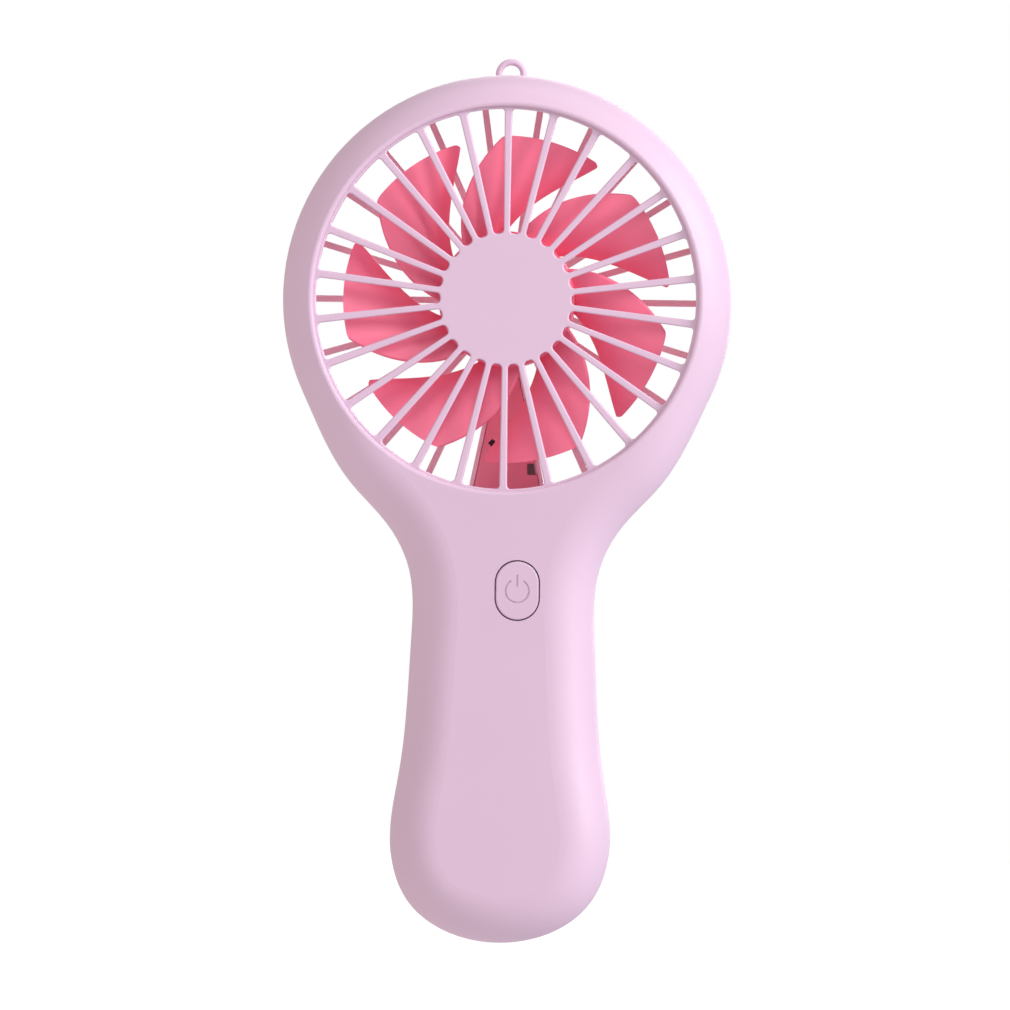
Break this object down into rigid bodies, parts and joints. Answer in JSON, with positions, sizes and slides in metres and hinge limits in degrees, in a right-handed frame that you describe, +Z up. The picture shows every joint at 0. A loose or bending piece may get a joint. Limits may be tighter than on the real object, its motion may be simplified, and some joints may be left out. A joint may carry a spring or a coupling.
{
  "type": "handheld electric fan",
  "caption": "Handheld battery fan: round head with spoked grilles and a shrouded impeller on a waisted grip with a push button, charging port and hang loop.",
  "frame": {"origin": "bottom centre of the bounding box: the lowest point of the grip, at half the depth", "axes": "+Z up from the grip to the head, -Y the front that blows air, +X to the right seen from the front; the impeller's axis runs along Y"},
  "size_m": [0.0992, 0.0314, 0.1956],
  "materials": {
    "casing": "satin",
    "grille": "satin",
    "cover": "satin",
    "impeller": "satin",
    "screw_steel": "zinc plated",
    "shaft_steel": "ground",
    "can_steel": "nickel plated",
    "core_steel": "laminated",
    "nickel": "nickel strip",
    "port_steel": "nickel plated",
    "magnet": "sintered ferrite",
    "copper_alloy": "tinned",
    "copper": "turned",
    "enamelled_copper": "enamelled",
    "bronze": "sintered",
    "white_plastic": "moulded",
    "cell_steel": "nickel plated",
    "sleeve": "shrunk film",
    "foam": "closed-cell foam",
    "board": "solder mask",
    "black_plastic": "moulded",
    "ferrite": "ground ferrite",
    "ceramic": "ceramic",
    "grey_plastic": "moulded",
    "led": "clear epoxy",
    "lens": "frosted acrylic",
    "wire_red": "silicone",
    "wire_black": "silicone"
  },
  "bodies": {
    "housing": {"front_shell": "casing", "rear_shell": "casing", "hang_loop": "casing", "rear_grille": "grille", "wire_cover": "cover", "shell_screws": "screw_steel", "board_screws": "screw_steel", "motor_can": "can_steel", "battery_tabs": "nickel", "usb_c_shell": "port_steel", "motor_magnets": "magnet", "motor_brushes": "copper_alloy", "motor_terminals": "copper_alloy", "front_bush": "bronze", "rear_bush": "bronze", "motor_end_bell": "white_plastic", "thrust_washers": "white_plastic", "battery_cell": "cell_steel", "battery_sleeve": "sleeve", "battery_pads": "foam", "circuit_board": "board", "control_chip": "black_plastic", "charge_chip": "black_plastic", "power_inductor": "ferrite", "board_capacitors": "ceramic", "switch_body": "black_plastic", "usb_c_tongue": "black_plastic", "charge_led": "led", "led_lens": "lens", "motor_wire_red": "wire_red", "battery_wire_red": "wire_red", "motor_wire_black": "wire_black", "battery_wire_black": "wire_black"},
    "rotor": {"impeller": "impeller", "motor_shaft": "shaft_steel", "armature_core": "core_steel", "armature_windings": "enamelled_copper", "commutator": "copper"},
    "button": {"power_button": "casing", "switch_plunger": "grey_plastic"}
  },
  "joints": [
    {"name": "rotor_spin", "type": "hinge", "parent": "housing", "child": "rotor", "pos_m": [0, 0, 0.1422], "axis": [0, 1, 0], "continuous": true},
    {"name": "button_press", "type": "slide", "parent": "housing", "child": "button", "axis": [0, 1, 0], "range_m": [0, 0.0005], "stiffness_N_per_m": 2500, "springref_m": -0.0003}
  ]
}
